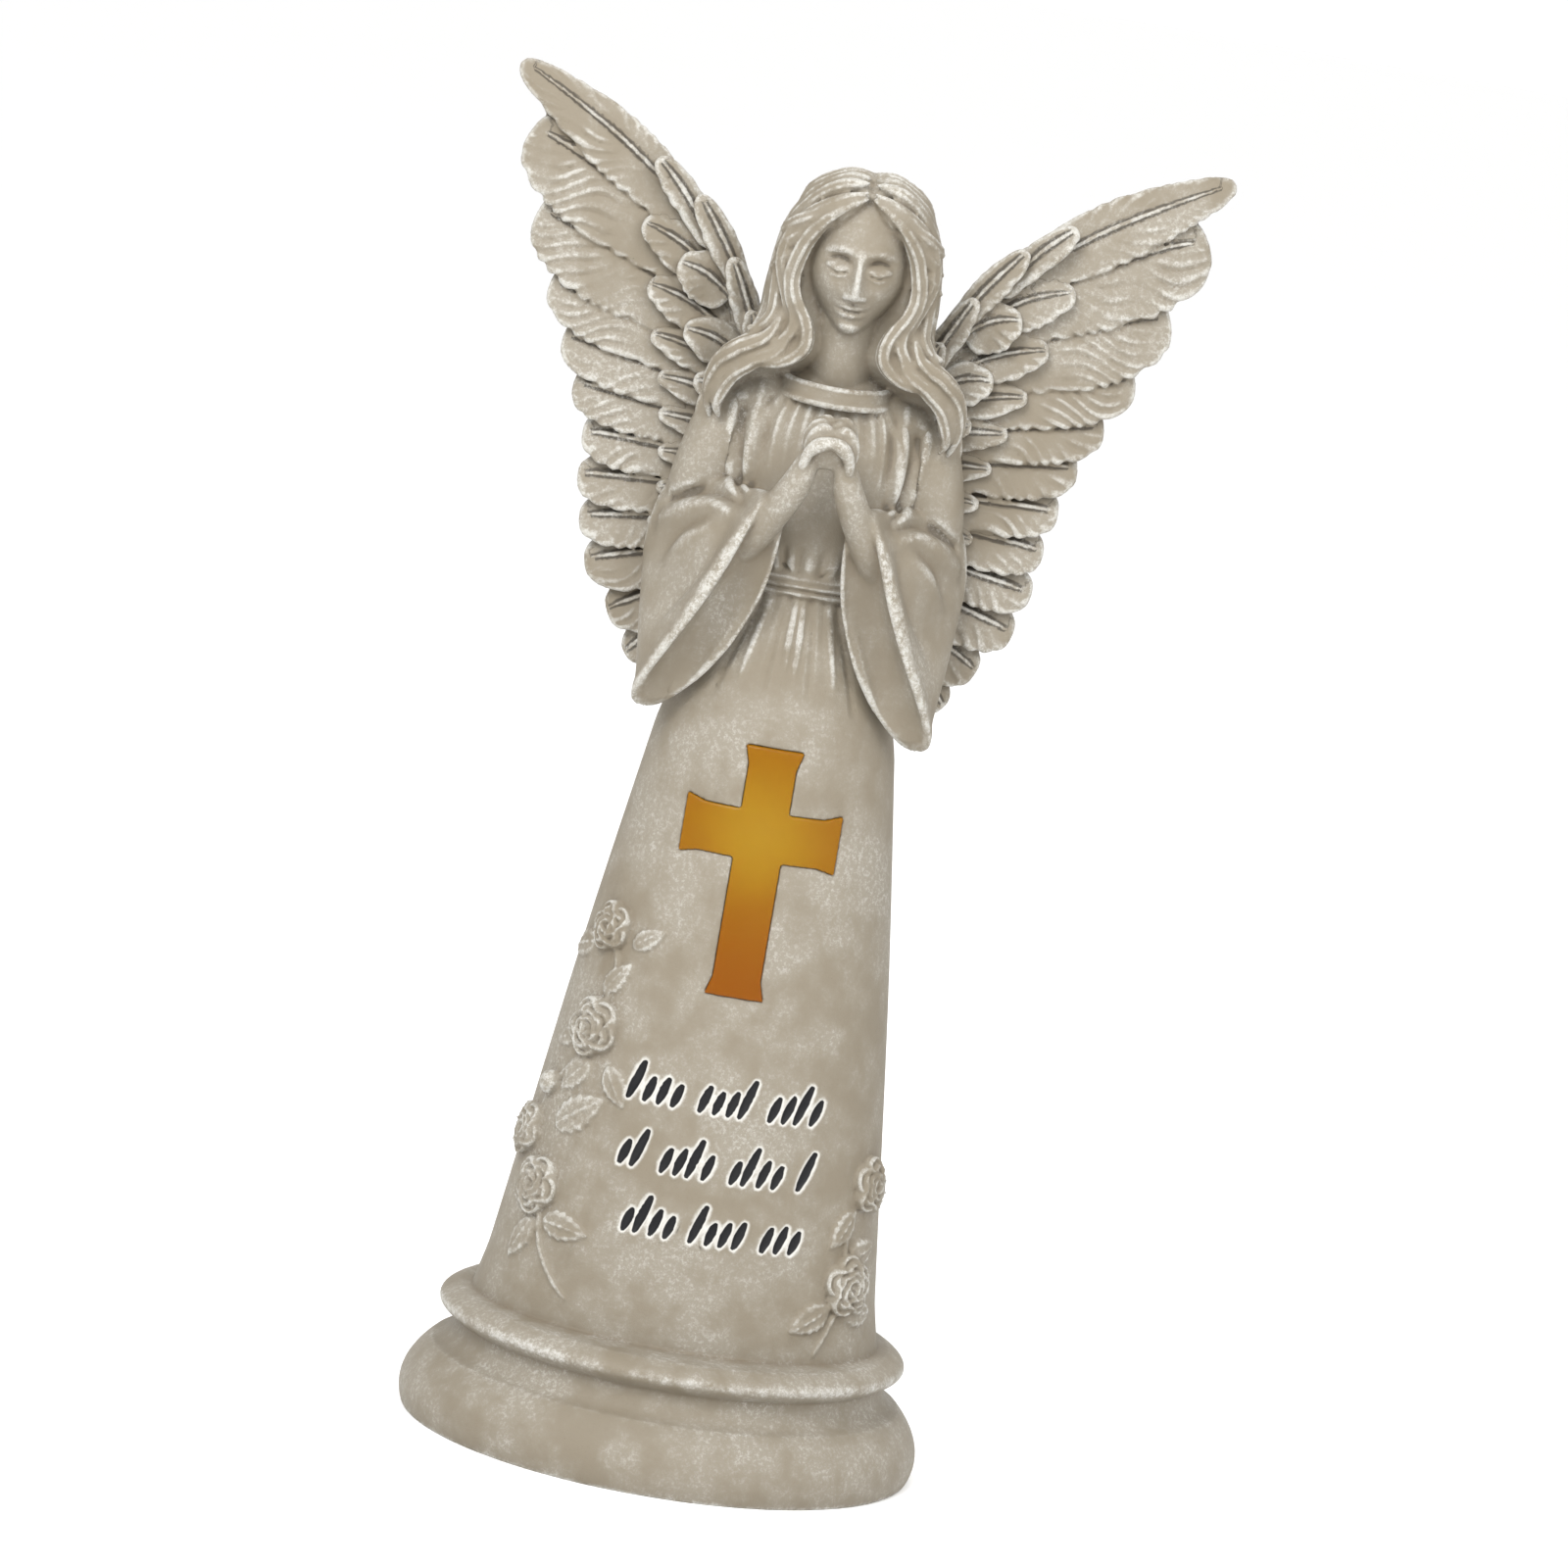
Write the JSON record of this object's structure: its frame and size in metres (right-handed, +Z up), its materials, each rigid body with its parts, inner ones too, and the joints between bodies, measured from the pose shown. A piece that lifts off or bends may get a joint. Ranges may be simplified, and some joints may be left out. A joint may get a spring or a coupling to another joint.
{
  "type": "cemetery angel statue",
  "caption": "Cast resin memorial angel at prayer on a moulded oval plinth, wings spread behind, with a translucent amber cross set in the front of the robe.",
  "frame": {"origin": "centre of the underside of the plinth", "axes": "+Z up; the figure faces -Y; +X to the viewer's right when facing the figure"},
  "size_m": [0.1768, 0.1138, 0.3284],
  "materials": {
    "stone_resin": "cast resin painted as weathered stone, with a brown wash in the folds and dry-brushed edges",
    "amber_resin": "translucent amber resin, satin"
  },
  "bodies": {
    "root": {"angel_casting": "stone_resin", "amber_cross": "amber_resin"}
  },
  "joints": []
}
